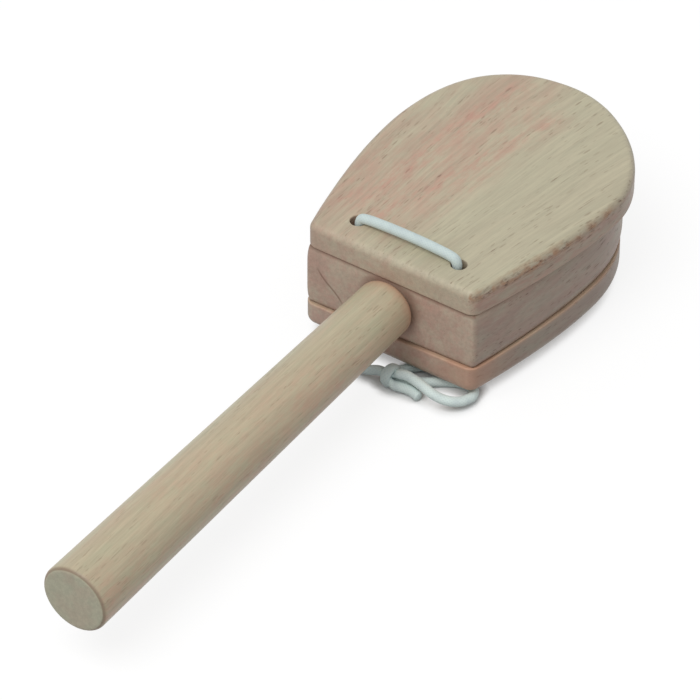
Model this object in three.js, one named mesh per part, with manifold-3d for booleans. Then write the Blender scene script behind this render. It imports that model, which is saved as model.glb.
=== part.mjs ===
// A handle castanet of pale wood, in millimetres, +Z up.
// The handle runs towards -X and the round end of the head towards +X. A thick block is fixed to the
// handle, a clapper lies on each flat side of the block, and one elastic cord is threaded through two
// holes in all three and tied in a bow under the front edge, which is the edge by the handle.
// The origin is under the middle of the whole length, on the surface that the castanet lies on.
import * as THREE from 'three';
import { mergeVertices } from 'three/addons/utils/BufferGeometryUtils.js';
import Module from 'manifold-3d';

const wasm = await Module();
wasm.setup();

// Running gap between faces that touch on the real castanet.
const seamGap = 0.3;

// Handle, turned with a slight taper. Its neck meets the front of the block, above the block's middle.
const handleLength = 121.4;
const handleEndRadius = 8.4;
const handleNeckRadius = 7.1;
const handleEndRound = 1.2;
const handleNeckRound = 1.9;
const handleRise = 1.5;
const tenonRadius = 4.5;
const tenonLength = 22;
const tenonTipRound = 0.8;

// Thickness of the layers of the head.
const blockThickness = 15.5;
const topThickness = 6.5;
const bottomThickness = 7.1;

// Plan outline of the block at its middle, seen from above, with X from its front: a straight front,
// sides that widen in a slow curve, and a round head. A fullness of 0.55 makes the head half an ellipse,
// and more makes it squarer.
const blockPlan = {
  front: 0,
  frontHalf: 23.4,
  corner: 1.6,
  sideReach: 26,
  maxHalf: 29.5,
  maxAt: 42.4,
  end: 75.4,
  fullness: 0.58,
};

// The block's sides swell out from its rims by this much over this height, and its front by less.
const blockSwell = 1.2;
const blockFrontSwell = 0.5;
const blockSwellHeight = 5.2;

// The clappers follow the block's rims, a little proud of them at the sides. The top one is longer than
// the block, and the bottom one is shorter and comes forward. The top one's side towards -Y is sawn
// fuller than the other, and is widest further on.
const topFrontSideProud = 0.6;
const topSideProud = 1.1;
const topOverhang = 3.4;
const topCorner = 2.6;
const topFullness = 0.64;
const topRightSideProud = 3.3;
const topRightSideReach = 30;
const topRightWidestOn = 5.6;
const topRightFullness = 0.47;
const bottomFrontSideProud = 1;
const bottomSideProud = 1.6;
const bottomForward = 0.6;
const bottomShort = 1.8;
const bottomWidestBack = 0.4;
const bottomCorner = 3;
const rimFrontHalf = blockPlan.frontHalf - blockSwell;
const rimMaxHalf = blockPlan.maxHalf - blockSwell;
const topPlan = {
  ...blockPlan,
  frontHalf: rimFrontHalf + topFrontSideProud,
  maxHalf: rimMaxHalf + topSideProud,
  end: blockPlan.end + topOverhang,
  corner: topCorner,
  fullness: topFullness,
  right: {
    sideReach: topRightSideReach,
    maxHalf: rimMaxHalf + topRightSideProud,
    maxAt: blockPlan.maxAt + topRightWidestOn,
    fullness: topRightFullness,
  },
};
const bottomPlan = {
  ...blockPlan,
  front: blockPlan.front - bottomForward,
  frontHalf: rimFrontHalf + bottomFrontSideProud,
  maxHalf: rimMaxHalf + bottomSideProud,
  maxAt: blockPlan.maxAt - bottomWidestBack,
  end: blockPlan.end - bottomShort,
  corner: bottomCorner,
};

// Rounding of the clappers' long edges, outer and inner.
const topOuterRound = 1.9;
const bottomOuterRound = 2.6;
const clapperInnerRound = 0.5;

// Shallow dish in the inner face of each clapper, which gives the castanet its sound.
const dishRadius = 18;
const dishDepth = 2.6;
const dishCentre = 44;

// Elastic cord and its two holes. The stitch over the top clapper bends down into them.
const cordRadius = 1.15;
const holeRadius = 1.6;
const holeFromFront = 7.5;
const holeHalfSpacing = 13.7;
const cordBend = 1.6;
const stitchSunk = 0.3;
const stitchArch = 0.6;

// Knot in front of the lower front edge: a short barrel round the strands, its axis across the head.
const knotRadius = 2.9;
const knotEndRadius = 1.9;
const knotWidth = 3.6;
const knotForward = 4.6;
const knotSide = -3.3;
const knotAboveStrands = 1.4;

// Facets.
const frontSteps = 3;
const cornerSteps = 4;
const sideSteps = 8;
const headSteps = 13;
const roundSteps = 3;
const swellSteps = 5;
const turnedSides = 48;
const holeSides = 20;
const dishRings = 6;
const knotSides = 16;
const cordSides = 8;
const stitchSteps = 32;
const loopSteps = 28;
const tailSteps = 5;

// How far a cutter passes a face that it cuts.
const cutOver = 1;

// Heights that follow from these sizes, up from the ground, which the knot touches.
const strandHeight = knotRadius - knotAboveStrands;
const bottomOuter = strandHeight + cordRadius + seamGap;
const bottomInner = bottomOuter + bottomThickness;
const blockBottom = bottomInner + seamGap;
const middleHeight = blockBottom + blockThickness / 2;
const blockTop = blockBottom + blockThickness;
const axisHeight = middleHeight + handleRise;
const topInner = blockTop + seamGap;
const topOuter = topInner + topThickness;
const centreX = (topPlan.end - handleLength) / 2;

// Half of one layer's outline, from the middle of its front along the side towards +Y and round to just
// before its tip, as points with outward normals.
function halfOutline(plan) {
  const ctrlX = plan.front + plan.sideReach;
  const slope = Math.atan2(plan.maxHalf - plan.frontHalf, plan.sideReach);
  const r = plan.corner;
  const inward = (r * (1 - Math.sin(slope))) / Math.cos(slope);
  const centre = new THREE.Vector2(plan.front + r, plan.frontHalf - inward);
  const sideStart = new THREE.Vector2(centre.x - r * Math.sin(slope), centre.y + r * Math.cos(slope));
  const widest = new THREE.Vector2(plan.maxAt, plan.maxHalf);
  const reach = plan.end - plan.maxAt;
  const frontMiddle = new THREE.Vector2(plan.front, 0);
  const pieces = [
    [new THREE.LineCurve(frontMiddle, new THREE.Vector2(plan.front, centre.y)), frontSteps],
    [new THREE.EllipseCurve(centre.x, centre.y, r, r, Math.PI, Math.PI / 2 + slope, true), cornerSteps],
    [new THREE.QuadraticBezierCurve(sideStart, new THREE.Vector2(ctrlX, plan.maxHalf), widest), sideSteps],
    [new THREE.CubicBezierCurve(
      widest,
      new THREE.Vector2(plan.maxAt + plan.fullness * reach, plan.maxHalf),
      new THREE.Vector2(plan.end, plan.fullness * plan.maxHalf),
      new THREE.Vector2(plan.end, 0),
    ), headSteps],
  ];
  const half = [];
  for (const [curve, steps] of pieces) {
    for (let i = 0; i < steps; i += 1) {
      const point = curve.getPoint(i / steps);
      const along = curve.getTangent(i / steps);
      half.push({ x: point.x, y: point.y, nx: -along.y, ny: along.x });
    }
  }
  half[0].nx = -1;
  half[0].ny = 0;
  return half;
}

// One layer's whole outline, anticlockwise seen from above. A plan's right values hold on its -Y side.
function planOutline(plan) {
  const left = halfOutline(plan);
  const right = halfOutline({ ...plan, ...plan.right }).slice(1).reverse();
  const tip = { x: plan.end, y: 0, nx: 1, ny: 0 };
  return [...left, tip, ...right.map((p) => ({ ...p, y: -p.y, ny: -p.ny }))].reverse();
}

// A rounded edge: its inset at the sides and at the front, its height, and its facets.
function evenRound(radius) {
  return { side: radius, front: radius, height: radius, steps: roundSteps };
}

// Rings up one layer's edge, a quarter of an ellipse at each rim: inset at the sides and the front, and
// height.
function edgeProfile(low, high, lowRound, highRound) {
  const quarter = (round, from, up) => {
    const rings = [];
    for (let i = 0; i <= round.steps; i += 1) {
      const a = (i / round.steps) * (Math.PI / 2);
      const inward = 1 - Math.sin(a);
      const z = from + up * round.height * (1 - Math.cos(a));
      rings.push({ side: round.side * inward, front: round.front * inward, z });
    }
    return rings;
  };
  return [...quarter(lowRound, low, 1), ...quarter(highRound, high, -1).reverse()];
}

// A layer of the head: the edge profile carried round the outline and closed by two flat faces. The
// front's inset holds where the outline faces the handle.
function roundedPlate(plan, low, high, lowRound, highRound) {
  const outline = planOutline(plan);
  const rings = edgeProfile(low, high, lowRound, highRound);
  const count = outline.length;
  const positions = [];
  for (const ring of rings) {
    for (const p of outline) {
      const facing = Math.max(0, -p.nx) ** 3;
      const inset = ring.side + (ring.front - ring.side) * facing;
      positions.push(p.x - inset * p.nx, p.y - inset * p.ny, ring.z);
    }
  }
  const lowCentre = rings.length * count;
  positions.push(plan.maxAt, 0, low, plan.maxAt, 0, high);
  const index = [];
  for (let ring = 0; ring + 1 < rings.length; ring += 1) {
    for (let i = 0; i < count; i += 1) {
      const a = ring * count + i;
      const b = ring * count + ((i + 1) % count);
      index.push(a, b, b + count, a, b + count, a + count);
    }
  }
  const lastRing = (rings.length - 1) * count;
  for (let i = 0; i < count; i += 1) {
    const next = (i + 1) % count;
    index.push(lowCentre, next, i, lowCentre + 1, lastRing + i, lastRing + next);
  }
  const geometry = new THREE.BufferGeometry();
  geometry.setAttribute('position', new THREE.Float32BufferAttribute(positions, 3));
  geometry.setIndex(index);
  return geometry;
}

function toSolid(geometry) {
  const bare = geometry.clone();
  bare.deleteAttribute('normal');
  bare.deleteAttribute('uv');
  const merged = mergeVertices(bare, 1e-4);
  const mesh = new wasm.Mesh({
    numProp: 3,
    vertProperties: new Float32Array(merged.attributes.position.array),
    triVerts: new Uint32Array(merged.index.array),
  });
  return new wasm.Manifold(mesh);
}

function toGeometry(solid) {
  const mesh = solid.getMesh();
  const geometry = new THREE.BufferGeometry();
  geometry.setAttribute('position', new THREE.BufferAttribute(new Float32Array(mesh.vertProperties), 3));
  geometry.setIndex(new THREE.BufferAttribute(new Uint32Array(mesh.triVerts), 1));
  geometry.computeVertexNormals();
  return geometry;
}

function cut(geometry, cutters) {
  let solid = toSolid(geometry);
  for (const cutter of cutters) solid = solid.subtract(toSolid(cutter));
  return toGeometry(solid);
}

// The two holes that the cord runs through, as cutters that pass both faces.
function holeCutters(low, high) {
  const length = high - low + 2 * cutOver;
  return [1, -1].map((side) => {
    const cylinder = new THREE.CylinderGeometry(holeRadius, holeRadius, length, holeSides);
    cylinder.rotateX(Math.PI / 2);
    return cylinder.translate(holeFromFront, side * holeHalfSpacing, (low + high) / 2);
  });
}

// A spherical dish sunk into a flat face at the given height; up is 1 or -1.
function dishCutter(face, up) {
  const sphere = (dishRadius ** 2 + dishDepth ** 2) / (2 * dishDepth);
  const spread = Math.asin(dishRadius / sphere);
  const profile = [new THREE.Vector2(0, -cutOver), new THREE.Vector2(dishRadius, -cutOver)];
  for (let i = dishRings; i >= 0; i -= 1) {
    const a = (i / dishRings) * spread;
    const height = sphere * Math.cos(a) - (sphere - dishDepth);
    profile.push(new THREE.Vector2(i ? sphere * Math.sin(a) : 0, i === dishRings ? 0 : height));
  }
  const dish = new THREE.LatheGeometry(profile, turnedSides);
  dish.rotateX(up * (Math.PI / 2));
  return dish.translate(dishCentre, 0, face);
}

function handleShape() {
  const arc = (x, r, round, from, to) => {
    const points = [];
    for (let i = 0; i <= roundSteps; i += 1) {
      const a = from + ((to - from) * i) / roundSteps;
      points.push(new THREE.Vector2(r + round * Math.sin(a), x + round * Math.cos(a)));
    }
    return points;
  };
  const neck = seamGap;
  const profile = [
    new THREE.Vector2(0, -tenonLength),
    ...arc(-tenonLength + tenonTipRound, tenonRadius - tenonTipRound, tenonTipRound, Math.PI, Math.PI / 2),
    new THREE.Vector2(tenonRadius, neck),
    ...arc(neck + handleNeckRound, handleNeckRadius - handleNeckRound, handleNeckRound, Math.PI, Math.PI / 2),
    ...arc(handleLength - handleEndRound, handleEndRadius - handleEndRound, handleEndRound, Math.PI / 2, 0),
    new THREE.Vector2(0, handleLength),
  ];
  const turned = new THREE.LatheGeometry(profile, turnedSides);
  turned.rotateZ(Math.PI / 2);
  return turned.translate(0, 0, axisHeight);
}

function blockShape() {
  const swell = { side: blockSwell, front: blockFrontSwell, height: blockSwellHeight, steps: swellSteps };
  const plate = roundedPlate(blockPlan, blockBottom, blockTop, swell, swell);
  const boreRadius = tenonRadius + seamGap;
  const boreDepth = tenonLength + seamGap;
  const bore = new THREE.CylinderGeometry(boreRadius, boreRadius, boreDepth + cutOver, turnedSides);
  bore.rotateZ(Math.PI / 2);
  bore.translate((boreDepth - cutOver) / 2, 0, axisHeight);
  return cut(plate, [bore, ...holeCutters(blockBottom, blockTop)]);
}

function topClapperShape() {
  const inner = evenRound(clapperInnerRound);
  const plate = roundedPlate(topPlan, topInner, topOuter, inner, evenRound(topOuterRound));
  return cut(plate, [dishCutter(topInner, 1), ...holeCutters(topInner, topOuter)]);
}

function bottomClapperShape() {
  const inner = evenRound(clapperInnerRound);
  const plate = roundedPlate(bottomPlan, bottomOuter, bottomInner, evenRound(bottomOuterRound), inner);
  return cut(plate, [dishCutter(bottomInner, -1), ...holeCutters(bottomOuter, bottomInner)]);
}

// A round cord along a smooth curve through the given points.
function cordAlong(points, steps) {
  const route = new THREE.CatmullRomCurve3(points.map((p) => new THREE.Vector3(...p)), false, 'centripetal');
  const section = new THREE.Shape();
  for (let i = 0; i < cordSides; i += 1) {
    const a = (i / cordSides) * 2 * Math.PI;
    const x = cordRadius * Math.cos(a);
    const y = cordRadius * Math.sin(a);
    if (i === 0) section.moveTo(x, y);
    else section.lineTo(x, y);
  }
  return new THREE.ExtrudeGeometry(section, { steps, extrudePath: route, bevelEnabled: false });
}

// Three points of a quarter bend from straight up or down into the level direction (ux, uy).
function quarterBend(x, y, ux, uy, from, to) {
  const radius = Math.abs(to - from);
  const out = radius * (1 - Math.SQRT1_2);
  const height = from + (to - from) * Math.SQRT1_2;
  return [[x, y, from], [x + ux * out, y + uy * out, height], [x + ux * radius, y + uy * radius, to]];
}

// Stitch over the top clapper: up one hole, in a low arch across, and down the other.
function topStitchShape() {
  const x = holeFromFront;
  const y = holeHalfSpacing;
  const start = topOuter - stitchSunk;
  const level = start + cordBend;
  const half = [
    [x, y, topInner + seamGap],
    [x, y, start - cordBend],
    ...quarterBend(x, y, 0, -1, start, level),
    [x, y / 2, level + 0.75 * stitchArch],
  ];
  const mirrored = half.map((p) => [p[0], -p[1], p[2]]).reverse();
  return cordAlong([...half, [x, 0, level + stitchArch], ...mirrored], stitchSteps);
}

// Straight length of cord through the block.
function legShape(side) {
  const leg = new THREE.CylinderGeometry(cordRadius, cordRadius, blockThickness - 2 * seamGap, cordSides);
  leg.rotateX(Math.PI / 2);
  return leg.translate(holeFromFront, side * holeHalfSpacing, middleHeight);
}

// The two strands under the bottom clapper: the hole that each comes down, the level direction in
// which it leaves the hole, and its way on to the knot.
const leftStrand = {
  side: 1,
  exit: [-0.91, -0.41],
  onward: [
    [2.4, 11.4, strandHeight],
    [-2.2, 8.7, strandHeight],
    [-5, 5.4, strandHeight + 0.1],
    [-5.3, 2, strandHeight + 0.8],
    [-4.7, -0.2, strandHeight + 1.3],
    [-4.6, -1.2, strandHeight + 1.4],
  ],
  steps: 22,
};
const rightStrand = {
  side: -1,
  exit: [-0.44, 0.9],
  onward: [
    [5.1, -8.8, strandHeight],
    [2.2, -5.2, strandHeight],
    [-1.2, -3.6, strandHeight + 0.5],
  ],
  steps: 18,
};

function strandShape(strand) {
  const x = holeFromFront;
  const y = strand.side * holeHalfSpacing;
  const bendTop = strandHeight + cordBend;
  const points = [
    [x, y, bottomInner - seamGap],
    [x, y, bendTop + cordBend],
    ...quarterBend(x, y, ...strand.exit, bendTop, strandHeight),
    ...strand.onward,
  ];
  return cordAlong(points, strand.steps);
}

// Knot: a barrel round the strands, rounded towards its two ends.
function knotShape() {
  const end = knotWidth / 2;
  const crown = knotWidth / 4;
  const profile = [
    [0, -end],
    [knotEndRadius, -end],
    [knotRadius, -crown],
    [knotRadius, crown],
    [knotEndRadius, end],
    [0, end],
  ].map(([r, y]) => new THREE.Vector2(r, y));
  const barrel = new THREE.LatheGeometry(profile, knotSides);
  return barrel.translate(-knotForward, knotSide, knotRadius);
}

// Free bow loop and cut tail, in front of and below the lower front edge. Heights are from the ground.
const bowLoopRoute = [
  [-4.1, -5.6, 3.9],
  [-3.7, -7.4, 4],
  [-3.9, -9.6, 3.9],
  [-4.7, -12.8, 3.9],
  [-5.4, -16.1, 3.6],
  [-5, -18.7, 3.1],
  [-3.5, -20.9, 2.5],
  [-1.3, -22.1, 2],
  [1.1, -22.4, 1.6],
  [3.3, -21.3, 1.3],
  [4.1, -19.5, 1.2],
  [3.7, -17, 1.2],
  [2.6, -14.7, 1.2],
  [1.2, -12.6, 1.2],
  [-0.4, -10.6, 1.2],
  [-2, -8.5, 1.3],
  [-3, -7, 1.3],
  [-3.3, -5.8, 1.3],
];
const tailRoute = [
  [-5.9, -5.5, 1.7],
  [-5.2, -7.9, 1.4],
  [-5.1, -10.1, 1.3],
  [-5.8, -12.4, 1.2],
];

const colours = { head: 0xc4b397, handle: 0xc6b48c, cord: 0xdfe9e8 };
const finishes = {
  wood: (colour) => new THREE.MeshStandardMaterial({ color: colour, roughness: 0.55, metalness: 0 }),
  elastic: () => new THREE.MeshStandardMaterial({ color: colours.cord, roughness: 0.85, metalness: 0 }),
};

// The group carries everything from the block's front edge to the middle of the whole length.
const castanet = new THREE.Group();
castanet.position.x = -centreX;

function add(name, geometry, material) {
  const mesh = new THREE.Mesh(geometry, material);
  mesh.name = name;
  castanet.add(mesh);
}

add('handle', handleShape(), finishes.wood(colours.handle));
add('centre_block', blockShape(), finishes.wood(colours.head));
add('top_clapper', topClapperShape(), finishes.wood(colours.head));
add('bottom_clapper', bottomClapperShape(), finishes.wood(colours.head));
add('elastic_top_stitch', topStitchShape(), finishes.elastic());
add('elastic_leg_left', legShape(1), finishes.elastic());
add('elastic_leg_right', legShape(-1), finishes.elastic());
add('elastic_under_left', strandShape(leftStrand), finishes.elastic());
add('elastic_under_right', strandShape(rightStrand), finishes.elastic());
add('elastic_knot', knotShape(), finishes.elastic());
add('elastic_bow_loop', cordAlong(bowLoopRoute, loopSteps), finishes.elastic());
add('elastic_tail', cordAlong(tailRoute, tailSteps), finishes.elastic());

export default castanet;
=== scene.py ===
# Handle castanet in pale rubberwood, with one white elastic tied in a small bow under the front edge.
# Lengths in the dictionaries are millimetres, with X from the block's front face, unless a note says more.
import math

import bpy
import numpy as np
from mathutils import Matrix, Vector


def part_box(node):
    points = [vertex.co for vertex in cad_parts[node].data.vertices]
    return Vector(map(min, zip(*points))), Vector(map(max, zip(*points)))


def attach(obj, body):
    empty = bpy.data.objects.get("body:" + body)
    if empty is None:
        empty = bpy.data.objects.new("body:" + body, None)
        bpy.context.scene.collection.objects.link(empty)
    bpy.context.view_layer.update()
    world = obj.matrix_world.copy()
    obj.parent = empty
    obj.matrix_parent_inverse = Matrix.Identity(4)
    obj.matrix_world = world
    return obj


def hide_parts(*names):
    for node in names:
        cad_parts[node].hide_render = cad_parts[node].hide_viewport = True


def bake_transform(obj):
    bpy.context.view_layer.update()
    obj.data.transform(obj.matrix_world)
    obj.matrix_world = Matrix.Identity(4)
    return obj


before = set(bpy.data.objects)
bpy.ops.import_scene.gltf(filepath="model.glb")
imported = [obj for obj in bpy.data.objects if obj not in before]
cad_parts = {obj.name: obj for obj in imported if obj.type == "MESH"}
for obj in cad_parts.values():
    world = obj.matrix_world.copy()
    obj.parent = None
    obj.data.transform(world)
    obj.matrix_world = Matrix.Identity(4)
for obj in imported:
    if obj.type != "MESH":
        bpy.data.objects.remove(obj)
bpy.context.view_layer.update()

mm = 0.001
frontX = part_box("centre_block")[0].x / mm  # where the block's front face stands in the frame
blockLow, blockHigh = (corner.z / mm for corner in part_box("centre_block"))
topLow, topHigh = (corner.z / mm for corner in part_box("top_clapper"))
bottomLow, bottomHigh = (corner.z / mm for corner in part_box("bottom_clapper"))
middleZ = (blockLow + blockHigh) / 2
axisZ = sum(corner.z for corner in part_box("handle")) / 2 / mm  # height of the handle's axis
print("frame loaded:", len(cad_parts), "nodes")


# Camera and stage

cameraLook = {
    "place": (-0.7807, -0.5360, 0.8256),  # metres
    "turn": (49.628, -0.182, -55.554),  # degrees about X, Y and Z
    "lens": 281.9,
    "sensor": 36.0,
    "clip": (0.05, 20),  # metres
}


def makeCamera(look):
    data = bpy.data.cameras.new("studioCamera")
    data.lens = look["lens"]
    data.sensor_width = look["sensor"]
    data.clip_start, data.clip_end = look["clip"]
    camera = bpy.data.objects.new("studioCamera", data)
    camera.location = look["place"]
    camera.rotation_euler = [math.radians(angle) for angle in look["turn"]]
    bpy.context.scene.collection.objects.link(camera)
    bpy.context.scene.camera = camera


makeCamera(cameraLook)
print("camera made")


# Paths and tubes for the elastic

def distanceAlong(path):
    return np.concatenate([[0], np.cumsum(np.linalg.norm(np.diff(path, axis=0), axis=1))])


def smoothPath(points, spacing, stepsBetween=32):
    # A centripetal Catmull-Rom curve through the points, walked at an even spacing. Each stretch is a cubic
    # whose end slopes come from the neighbours, weighted by the square roots of the gaps between points.
    given = np.array(points, float)
    before = 2 * given[0] - given[1]
    after = 2 * given[-1] - given[-2]
    ends = np.vstack([before, given, after])
    gaps = np.sqrt(np.linalg.norm(np.diff(ends, axis=0), axis=1))
    t = np.linspace(0, 1, stepsBetween, endpoint=False)[:, None]
    pieces = []
    for i in range(1, len(ends) - 2):
        p0, p1, p2, p3 = ends[i - 1:i + 3]
        d0, d1, d2 = gaps[i - 1:i + 2]
        m1 = ((p1 - p0) / d0 - (p2 - p0) / (d0 + d1) + (p2 - p1) / d1) * d1
        m2 = ((p2 - p1) / d1 - (p3 - p1) / (d1 + d2) + (p3 - p2) / d2) * d1
        c2 = 3 * (p2 - p1) - 2 * m1 - m2
        c3 = 2 * (p1 - p2) + m1 + m2
        pieces.append(p1 + m1 * t + c2 * t ** 2 + c3 * t ** 3)
    dense = np.vstack(pieces + [given[-1:]])
    walked = distanceAlong(dense)
    count = max(2, int(round(walked[-1] / spacing)) + 1)
    even = np.linspace(0, walked[-1], count)
    return np.column_stack([np.interp(even, walked, dense[:, k]) for k in range(3)])


def smoothStep(value):
    # 3 t^2 - 2 t^3, with t held between 0 and 1.
    share = np.clip(value, 0, 1)
    return share ** 2 * (3 - 2 * share)


def carriedFrames(path, first):
    # Tangents from central differences, and a side vector carried along without twist from the first one. The
    # cross vector is square to both.
    tangent = np.gradient(path, axis=0)
    tangent /= np.linalg.norm(tangent, axis=1)[:, None]
    side = np.zeros_like(path)
    current = np.array(first, float)
    for i, along in enumerate(tangent):
        current = current - along * (current @ along)
        current /= np.linalg.norm(current)
        side[i] = current
    return side, np.cross(tangent, side)


elasticLook = {
    "diameter": 2.4,
    "spacing": 0.15,
    "around": 60,
    "carriers": 10,  # strands of the braided cover that run each way
    "twist": 0.85,  # turns of a strand for each circumference of length
    "relief": 0.01,
    "ridge": 0.6,  # a ridge's mean height, from which it rises and sinks by the rest of 1
    "endRound": 0.5,
    "endLeast": 0.2,  # share of the radius that is left at the very end
}


def braidRelief(distance, angle, look):
    # Two sets of slanting ridges, one turning each way. A slow wave along both takes each ridge over and
    # then under the other set, as in a plaited cover. The height is the larger of the two, from -1 to 1.
    pitch = 2 * look["twist"] / look["diameter"]
    right = look["carriers"] * (angle - pitch * distance)
    left = look["carriers"] * (angle + pitch * distance)
    over = (1 - look["ridge"]) * np.cos((right + left) / 2) * np.cos((right - left) / 2)
    return np.maximum(np.cos(right) * (look["ridge"] + over), np.cos(left) * (look["ridge"] - over))


def tubeGrid(path, first, look, wide=None, thick=None, turn=0.0):
    # Rings round the path: the section is an ellipse of half width wide across the side vector and half
    # height thick along it, turned by an angle, plus the braid's relief. The last rings round off the end.
    radius = look["diameter"] / 2
    side, cross = carriedFrames(path, first)
    wide = radius if wide is None else wide[:, None]
    thick = radius if thick is None else thick[:, None]
    walked = distanceAlong(path)
    toEnd = np.minimum(walked, walked[-1] - walked)
    closing = 1 - (1 - np.clip(toEnd / look["endRound"], 0, 1)) ** 2
    rounding = np.sqrt(np.clip(closing, look["endLeast"] ** 2, 1))
    angle = np.linspace(0, 2 * math.pi, look["around"], endpoint=False)
    relief = 1 + look["relief"] / radius * braidRelief(walked[:, None], angle, look)
    u = np.cos(angle) * thick * rounding[:, None] * relief
    v = np.sin(angle) * wide * rounding[:, None] * relief
    c, s = (np.broadcast_to(wave(turn), len(path))[:, None, None] for wave in (np.cos, np.sin))
    turnedSide = side[:, None] * c + cross[:, None] * s
    turnedCross = cross[:, None] * c - side[:, None] * s
    return path[:, None] + turnedSide * u[..., None] + turnedCross * v[..., None], walked


def closedRings(name, rings, first, last):
    # Rings of points joined by quads all the way round, and by triangles to the point that closes each end.
    count, around = rings.shape[:2]
    i, j = np.meshgrid(np.arange(count - 1), np.arange(around), indexing="ij")
    a = i * around + j
    b = i * around + (j + 1) % around
    quads = np.stack([a, b, b + around, a + around], -1).reshape(-1, 4)
    k = np.arange(around)
    base = (count - 1) * around
    low = np.stack([np.full(around, count * around), (k + 1) % around, k], -1)
    high = np.stack([np.full(around, count * around + 1), base + k, base + (k + 1) % around], -1)
    points = np.vstack([rings.reshape(-1, 3), first, last]) * mm
    mesh = bpy.data.meshes.new(name)
    mesh.from_pydata(points.tolist(), [], quads.tolist() + low.tolist() + high.tolist())
    mesh.update()
    return mesh


def tubeMesh(name, rings, walked):
    # The closed rings, with a UV map of the distance along in millimetres and the share of the way round.
    mesh = closedRings(name, rings, rings[0].mean(0), rings[-1].mean(0))
    count, around = rings.shape[:2]
    i, j = np.meshgrid(np.arange(count - 1), np.arange(around), indexing="ij")
    u = np.stack([walked[i], walked[i], walked[i + 1], walked[i + 1]], -1).reshape(-1)
    v = np.stack([j, j + 1, j + 1, j], -1).reshape(-1) / around
    caps = np.zeros((2 * 3 * around, 2))
    caps[3 * around:, 0] = walked[-1]
    layer = mesh.uv_layers.new(name="alongCord")
    layer.data.foreach_set("uv", np.vstack([np.column_stack([u, v]), caps]).astype(np.float32).ravel())
    mesh.polygons.foreach_set("use_smooth", np.ones(len(mesh.polygons), bool))
    mesh.update()
    return mesh


def addPiece(name, mesh, material):
    piece = bpy.data.objects.new(name, mesh)
    bpy.context.scene.collection.objects.link(piece)
    mesh.materials.append(material)
    return piece


def addTube(name, path, first, material, **section):
    rings, walked = tubeGrid(path, first, elasticLook, **section)
    print(name, "made:", round(walked[-1], 1), "mm")
    return addPiece(name, tubeMesh(name, rings, walked), material)


def intoFrame(points):
    return np.array(points, float) + [frontX, 0, 0]


# Materials

def fill(tree, slots, *values):
    # Sockets are linked, a colour gets its alpha, and other values are set.
    for slot, value in zip(slots, values, strict=False):
        if isinstance(value, bpy.types.NodeSocket):
            tree.links.new(value, slot)
        else:
            slot.default_value = (*value, 1) if isinstance(value, tuple) else value


def addNode(tree, kind, **values):
    node = tree.nodes.new(kind)
    for key, value in values.items():
        if key in node.inputs:
            node.inputs[key].default_value = value
        else:
            setattr(node, key, value)
    return node


def mathNode(tree, operation, *values, clamp=False):
    node = addNode(tree, "ShaderNodeMath", operation=operation, use_clamp=clamp)
    fill(tree, node.inputs, *values)
    return node.outputs[0]


def product(tree, first, second, clamp=False):
    return mathNode(tree, "MULTIPLY", first, second, clamp=clamp)


def productPlus(tree, first, second, added, clamp=False):
    return mathNode(tree, "MULTIPLY_ADD", first, second, added, clamp=clamp)


def mixColour(tree, factor, first, second, blend="MIX"):
    node = addNode(tree, "ShaderNodeMix", data_type="RGBA", blend_type=blend)
    fill(tree, (node.inputs[0], *node.inputs[6:8]), factor, first, second)
    return node.outputs[2]


def ramp(tree, value, low, high, atLow=0.0, atHigh=1.0):
    # Smooth step from atLow at low to atHigh at high.
    node = addNode(tree, "ShaderNodeMapRange", interpolation_type="SMOOTHSTEP")
    fill(tree, node.inputs, value, low, high, atLow, atHigh)
    return node.outputs[0]


def attribute(tree, name):
    return addNode(tree, "ShaderNodeAttribute", attribute_name=name).outputs["Fac"]


def splitThree(tree, kind, vector):
    node = tree.nodes.new(kind)
    tree.links.new(vector, node.inputs[0])
    return node.outputs


def stretched(tree, vector, size):
    # The vector in units of size[0] on X, and of size[1] on Y and Z.
    mapping = addNode(tree, "ShaderNodeMapping", Scale=(1 / size[0], 1 / size[1], 1 / size[1]))
    tree.links.new(vector, mapping.inputs["Vector"])
    return mapping.outputs[0]


def noise(tree, vector, size, detail, roughness):
    node = addNode(tree, "ShaderNodeTexNoise", Scale=1.0, Detail=detail, Roughness=roughness)
    tree.links.new(stretched(tree, vector, size), node.inputs["Vector"])
    return node.outputs["Fac"]


def addBump(tree, shader, height, strength, distance):
    bump = addNode(tree, "ShaderNodeBump", Strength=strength, Distance=distance)
    tree.links.new(height, bump.inputs["Height"])
    tree.links.new(bump.outputs[0], shader.inputs["Normal"])


def newMaterial(name):
    material = bpy.data.materials.new(name)
    material.use_nodes = True
    return material, material.node_tree, material.node_tree.nodes["Principled BSDF"]


# The wood's patterns: length along the grain and width across it, the noise's detail and roughness, and the
# range of it, if any, that a smooth step stretches
grainPatterns = {
    "bend": [(45, 22), 1.0, 0.5],
    "streaks": [(110, 7), 3.0, 0.55],
    "mottles": [(12, 2.8), 3.0, 0.6],
    "bands": [(150, 2.2), 2.0, 0.5],
    "lines": [(26, 0.9), 3.0, 0.65, (0.3, 0.7)],
    "fibres": [(7, 0.38), 3.0, 0.66],
    "blotches": [(6, 1.9), 4.0, 0.7, (0.34, 0.7)],
    "poreGroups": [(34, 5), 2.0, 0.5, (0.36, 0.58, 0.25, 1.0)],
    "tornPatches": [(4, 1.6), 3.0, 0.6, (0.42, 0.6)],
    "tornFlecks": [(1.8, 0.5), 3.0, 0.7],
}
# Small, hair-thin and large pores: the size of a cell, the dash's half width as a share of it, its strength
poreKinds = [((4, 0.7), 0.25, 0.7), ((11, 0.5), 0.26, 0.6), ((7, 1.1), 0.24, 0.7)]
poreCore = 0.45  # share of a dash's half width that is fully dark
poreFaintest = 0.3


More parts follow.
